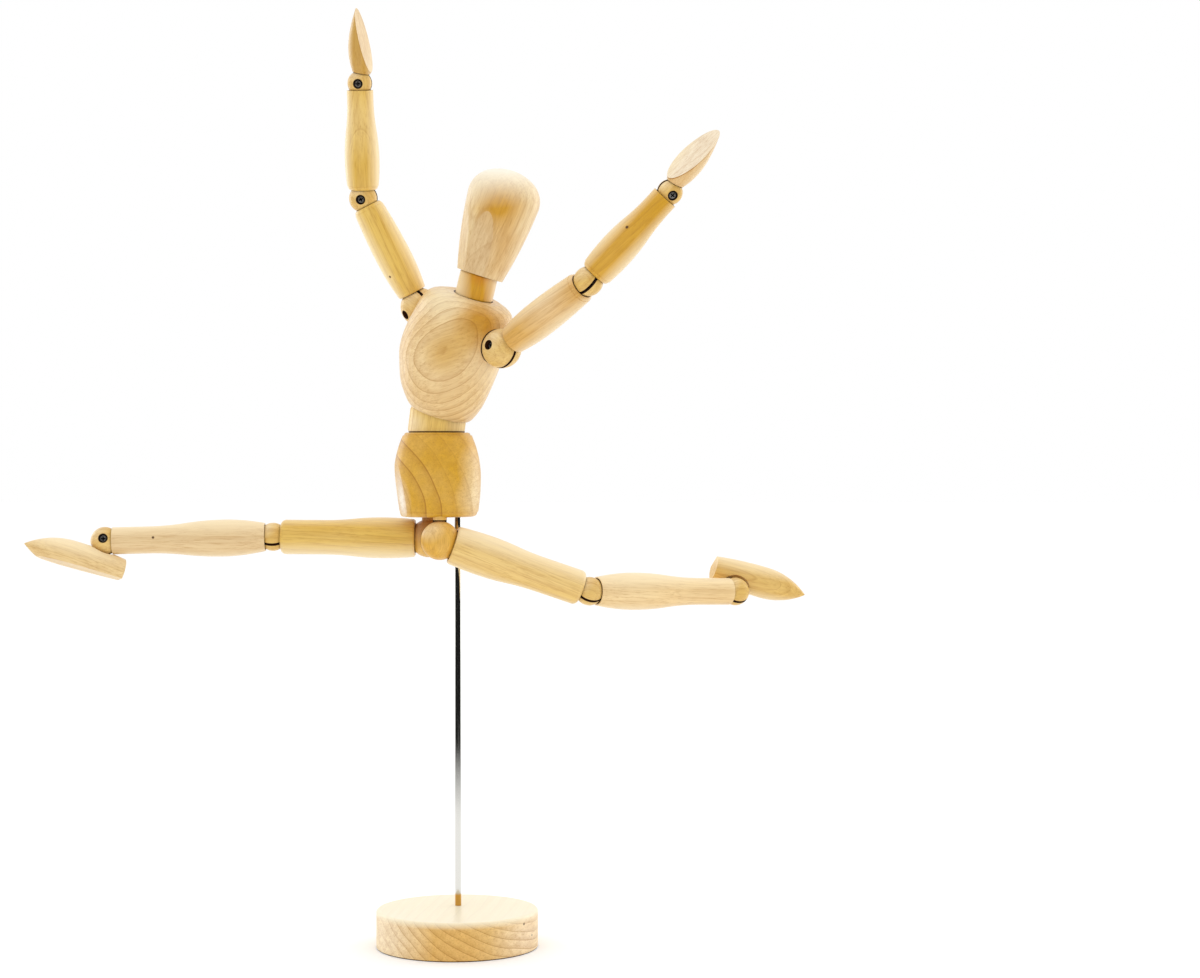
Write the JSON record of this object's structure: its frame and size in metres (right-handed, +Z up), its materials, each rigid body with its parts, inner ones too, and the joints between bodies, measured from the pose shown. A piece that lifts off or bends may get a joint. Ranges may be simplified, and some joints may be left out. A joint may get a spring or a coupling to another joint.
{
  "type": "wooden artist mannequin",
  "caption": "Jointed wooden drawing figure on a rod and round base, with split-ball joints, posed leaping with both arms up and the legs apart.",
  "frame": {"origin": "centre of the underside of the round base", "axes": "+Z up along the rod; +Y away from the side the picture was taken from; +X to the right in the picture"},
  "size_m": [0.3418, 0.122, 0.4046],
  "materials": {
    "turned_wood": "sanded, clear satin",
    "base_wood": "sanded, clear satin",
    "rod_steel": "polished",
    "screw_steel": "bright cross in a dark head",
    "spring_steel": "drawn wire"
  },
  "bodies": {
    "stand": {"base": "base_wood", "rod": "rod_steel"},
    "pelvis": {"pelvis": "turned_wood", "left_hip_spring": "spring_steel", "right_hip_spring": "spring_steel"},
    "waist": {"waist": "turned_wood"},
    "waist_spring": {"waist_spring": "spring_steel"},
    "chest": {"chest": "turned_wood", "shoulder_spring": "spring_steel"},
    "neck": {"neck": "turned_wood"},
    "neck_spring": {"neck_spring": "spring_steel"},
    "head": {"head": "turned_wood"},
    "left_shoulder_inner": {"left_shoulder_inner_half": "turned_wood", "left_shoulder_screw": "screw_steel"},
    "left_shoulder_outer": {"left_shoulder_outer_half": "turned_wood"},
    "left_upper_arm": {"left_upper_arm": "turned_wood", "left_elbow_upper_half": "turned_wood", "left_elbow_screw": "screw_steel"},
    "left_elbow_lower": {"left_elbow_lower_half": "turned_wood"},
    "left_forearm": {"left_forearm": "turned_wood", "left_wrist_upper_half": "turned_wood", "left_wrist_screw": "screw_steel"},
    "left_wrist_lower": {"left_wrist_lower_half": "turned_wood"},
    "left_hand": {"left_hand": "turned_wood"},
    "left_hip_inner": {"left_hip_inner_half": "turned_wood", "left_hip_screw": "screw_steel"},
    "left_hip_outer": {"left_hip_outer_half": "turned_wood"},
    "left_thigh": {"left_thigh": "turned_wood", "left_knee_upper_half": "turned_wood", "left_knee_screw": "screw_steel"},
    "left_knee_lower": {"left_knee_lower_half": "turned_wood"},
    "left_shin": {"left_shin": "turned_wood", "left_ankle_upper_half": "turned_wood", "left_ankle_screw": "screw_steel"},
    "left_ankle_lower": {"left_ankle_lower_half": "turned_wood"},
    "left_foot": {"left_foot": "turned_wood"},
    "right_shoulder_inner": {"right_shoulder_inner_half": "turned_wood", "right_shoulder_screw": "screw_steel"},
    "right_shoulder_outer": {"right_shoulder_outer_half": "turned_wood"},
    "right_upper_arm": {"right_upper_arm": "turned_wood", "right_elbow_upper_half": "turned_wood", "right_elbow_screw": "screw_steel"},
    "right_elbow_lower": {"right_elbow_lower_half": "turned_wood"},
    "right_forearm": {"right_forearm": "turned_wood", "right_wrist_upper_half": "turned_wood", "right_wrist_screw": "screw_steel"},
    "right_wrist_lower": {"right_wrist_lower_half": "turned_wood"},
    "right_hand": {"right_hand": "turned_wood"},
    "right_hip_inner": {"right_hip_inner_half": "turned_wood", "right_hip_screw": "screw_steel"},
    "right_hip_outer": {"right_hip_outer_half": "turned_wood"},
    "right_thigh": {"right_thigh": "turned_wood", "right_knee_upper_half": "turned_wood", "right_knee_screw": "screw_steel"},
    "right_knee_lower": {"right_knee_lower_half": "turned_wood"},
    "right_shin": {"right_shin": "turned_wood", "right_ankle_upper_half": "turned_wood", "right_ankle_screw": "screw_steel"},
    "right_ankle_lower": {"right_ankle_lower_half": "turned_wood"},
    "right_foot": {"right_foot": "turned_wood"}
  },
  "joints": [
    {"name": "figure_turn", "type": "hinge", "parent": "stand", "child": "pelvis", "pos_m": [0, 0.007, 0.1864], "axis": [0, 0, 1], "continuous": true},
    {"name": "waist_lean", "type": "hinge", "parent": "pelvis", "child": "waist", "pos_m": [-0.00873, 0.00482, 0.2274], "axis": [0.4384, 0.8988, 0], "range_deg": [-20, 4]},
    {"name": "chest_turn", "type": "hinge", "parent": "waist", "child": "waist_spring", "pos_m": [-0.00873, 0.00482, 0.2274], "axis": [-0.1251, 0.061, -0.9903], "range_deg": [-30, 60]},
    {"name": "chest_lean", "type": "hinge", "parent": "waist_spring", "child": "chest", "pos_m": [-0.00873, 0.00482, 0.2274], "axis": [-0.6538, -0.7558, 0.036], "range_deg": [-1.5, 26.5], "deforming": ["waist_spring"]},
    {"name": "neck_lean", "type": "hinge", "parent": "chest", "child": "neck", "pos_m": [0.00892, -0.00767, 0.28577], "axis": [0.6896, 0.7222, -0.0541], "range_deg": [-6.5, 13.5]},
    {"name": "head_turn", "type": "hinge", "parent": "neck", "child": "neck_spring", "pos_m": [0.00892, -0.00767, 0.28577], "axis": [0.2424, -0.1599, 0.9569], "range_deg": [-70, 70]},
    {"name": "head_lean", "type": "hinge", "parent": "neck_spring", "child": "head", "pos_m": [0.00892, -0.00767, 0.28577], "axis": [0.7613, -0.58, -0.2898], "range_deg": [-4, 16], "deforming": ["neck_spring"]},
    {"name": "left_shoulder_swivel", "type": "hinge", "parent": "chest", "child": "left_shoulder_inner", "pos_m": [0.02041, -0.02484, 0.2583], "axis": [0.6542, -0.6745, -0.3422], "range_deg": [-75, 75]},
    {"name": "left_shoulder_hinge", "type": "hinge", "parent": "left_shoulder_inner", "child": "left_shoulder_outer", "pos_m": [0.02041, -0.02484, 0.2583], "axis": [-0.6645, -0.7286, 0.1658], "range_deg": [-110, 18]},
    {"name": "left_upper_arm_twist", "type": "hinge", "parent": "left_shoulder_outer", "child": "left_upper_arm", "pos_m": [0.02041, -0.02484, 0.2583], "axis": [-0.6924, 0.5169, -0.5034], "range_deg": [-90, 90]},
    {"name": "left_elbow_hinge", "type": "hinge", "parent": "left_upper_arm", "child": "left_elbow_lower", "pos_m": [0.05711, -0.05224, 0.28498], "axis": [-0.7125, -0.3798, 0.59], "range_deg": [-80.5, 29.5]},
    {"name": "left_forearm_twist", "type": "hinge", "parent": "left_elbow_lower", "child": "left_forearm", "pos_m": [0.05711, -0.05224, 0.28498], "axis": [0.6739, -0.1363, 0.7261], "range_deg": [-90, 90]},
    {"name": "left_wrist_hinge", "type": "hinge", "parent": "left_forearm", "child": "left_wrist_lower", "pos_m": [0.09047, -0.05899, 0.32092], "axis": [0.2263, -0.8975, -0.3785], "range_deg": [-55, 45]},
    {"name": "left_hand_twist", "type": "hinge", "parent": "left_wrist_lower", "child": "left_hand", "pos_m": [0.09047, -0.05899, 0.32092], "axis": [0.6101, -0.1723, 0.7734], "range_deg": [-90, 90]},
    {"name": "left_hip_swivel", "type": "hinge", "parent": "pelvis", "child": "left_hip_inner", "pos_m": [-0.00683, -0.00861, 0.1765], "axis": [0, 0, -1], "range_deg": [-18, 30]},
    {"name": "left_hip_hinge", "type": "hinge", "parent": "left_hip_inner", "child": "left_hip_outer", "pos_m": [-0.00683, -0.00861, 0.1765], "axis": [-0.1392, 0.9903, 0], "range_deg": [-15, 60]},
    {"name": "left_thigh_twist", "type": "hinge", "parent": "left_hip_outer", "child": "left_thigh", "pos_m": [-0.00683, -0.00861, 0.1765], "axis": [0.9363, 0.1316, -0.3256], "range_deg": [-60, 60]},
    {"name": "left_knee_hinge", "type": "hinge", "parent": "left_thigh", "child": "left_knee_lower", "pos_m": [0.05731, 0.0004, 0.1542], "axis": [-0.3373, 0.5949, -0.7296], "range_deg": [-29, 81]},
    {"name": "left_shin_twist", "type": "hinge", "parent": "left_knee_lower", "child": "left_shin", "pos_m": [0.05731, 0.0004, 0.1542], "axis": [-0.8844, -0.4659, 0.029], "range_deg": [-90, 90]},
    {"name": "left_ankle_hinge", "type": "hinge", "parent": "left_shin", "child": "left_ankle_lower", "pos_m": [0.12231, 0.03464, 0.15207], "axis": [0.3641, -0.6497, 0.6673], "range_deg": [-43.5, 6.5]},
    {"name": "left_foot_twist", "type": "hinge", "parent": "left_ankle_lower", "child": "left_foot", "pos_m": [0.12231, 0.03464, 0.15207], "axis": [0.0524, 0.7296, 0.6819], "range_deg": [-45, 45]},
    {"name": "right_shoulder_swivel", "type": "hinge", "parent": "chest", "child": "right_shoulder_inner", "pos_m": [-0.01688, 0.0136, 0.27781], "axis": [0.6542, -0.6745, -0.3422], "range_deg": [-75, 75]},
    {"name": "right_shoulder_hinge", "type": "hinge", "parent": "right_shoulder_inner", "child": "right_shoulder_outer", "pos_m": [-0.01688, 0.0136, 0.27781], "axis": [-0.7449, -0.4962, -0.446], "range_deg": [-18, 110]},
    {"name": "right_upper_arm_twist", "type": "hinge", "parent": "right_shoulder_outer", "child": "right_upper_arm", "pos_m": [-0.01688, 0.0136, 0.27781], "axis": [0.4535, 0.1137, -0.884], "range_deg": [-90, 90]},
    {"name": "right_elbow_hinge", "type": "hinge", "parent": "right_upper_arm", "child": "right_elbow_lower", "pos_m": [-0.04091, 0.00758, 0.32466], "axis": [-0.1271, -0.9734, -0.1904], "range_deg": [-28.5, 81.5]},
    {"name": "right_forearm_twist", "type": "hinge", "parent": "right_elbow_lower", "child": "right_forearm", "pos_m": [-0.04091, 0.00758, 0.32466], "axis": [-0.0122, -0.1904, 0.9816], "range_deg": [-90, 90]},
    {"name": "right_wrist_hinge", "type": "hinge", "parent": "right_forearm", "child": "right_wrist_lower", "pos_m": [-0.04152, -0.00185, 0.37325], "axis": [-0.0837, -0.9781, -0.1908], "range_deg": [-50, 50]},
    {"name": "right_hand_twist", "type": "hinge", "parent": "right_wrist_lower", "child": "right_hand", "pos_m": [-0.04152, -0.00185, 0.37325], "axis": [-0.0122, -0.1904, 0.9816], "range_deg": [-90, 90]},
    {"name": "right_hip_swivel", "type": "hinge", "parent": "pelvis", "child": "right_hip_inner", "pos_m": [-0.01336, 0.01758, 0.1765], "axis": [0, 0, 1], "range_deg": [-30, 30]},
    {"name": "right_hip_hinge", "type": "hinge", "parent": "right_hip_inner", "child": "right_hip_outer", "pos_m": [-0.01336, 0.01758, 0.1765], "axis": [0.0087, 1, 0], "range_deg": [-70, 4]},
    {"name": "right_thigh_twist", "type": "hinge", "parent": "right_hip_outer", "child": "right_thigh", "pos_m": [-0.01336, 0.01758, 0.1765], "axis": [-0.9999, 0.0087, 0.0087], "range_deg": [-60, 60]},
    {"name": "right_knee_hinge", "type": "hinge", "parent": "right_thigh", "child": "right_knee_lower", "pos_m": [-0.08185, 0.01818, 0.1771], "axis": [0.0028, -0.53, 0.848], "range_deg": [-58.5, 51.5]},
    {"name": "right_shin_twist", "type": "hinge", "parent": "right_knee_lower", "child": "right_shin", "pos_m": [-0.08185, 0.01818, 0.1771], "axis": [0.9988, 0.0431, 0.0236], "range_deg": [-90, 90]},
    {"name": "right_ankle_hinge", "type": "hinge", "parent": "right_shin", "child": "right_ankle_lower", "pos_m": [-0.15526, 0.01502, 0.17536], "axis": [-0.0358, 0.9674, -0.2507], "range_deg": [-0.5, 51.5]},
    {"name": "right_foot_twist", "type": "hinge", "parent": "right_ankle_lower", "child": "right_foot", "pos_m": [-0.15526, 0.01502, 0.17536], "axis": [0.2004, 0.2527, 0.9466], "range_deg": [-45, 45]}
  ]
}
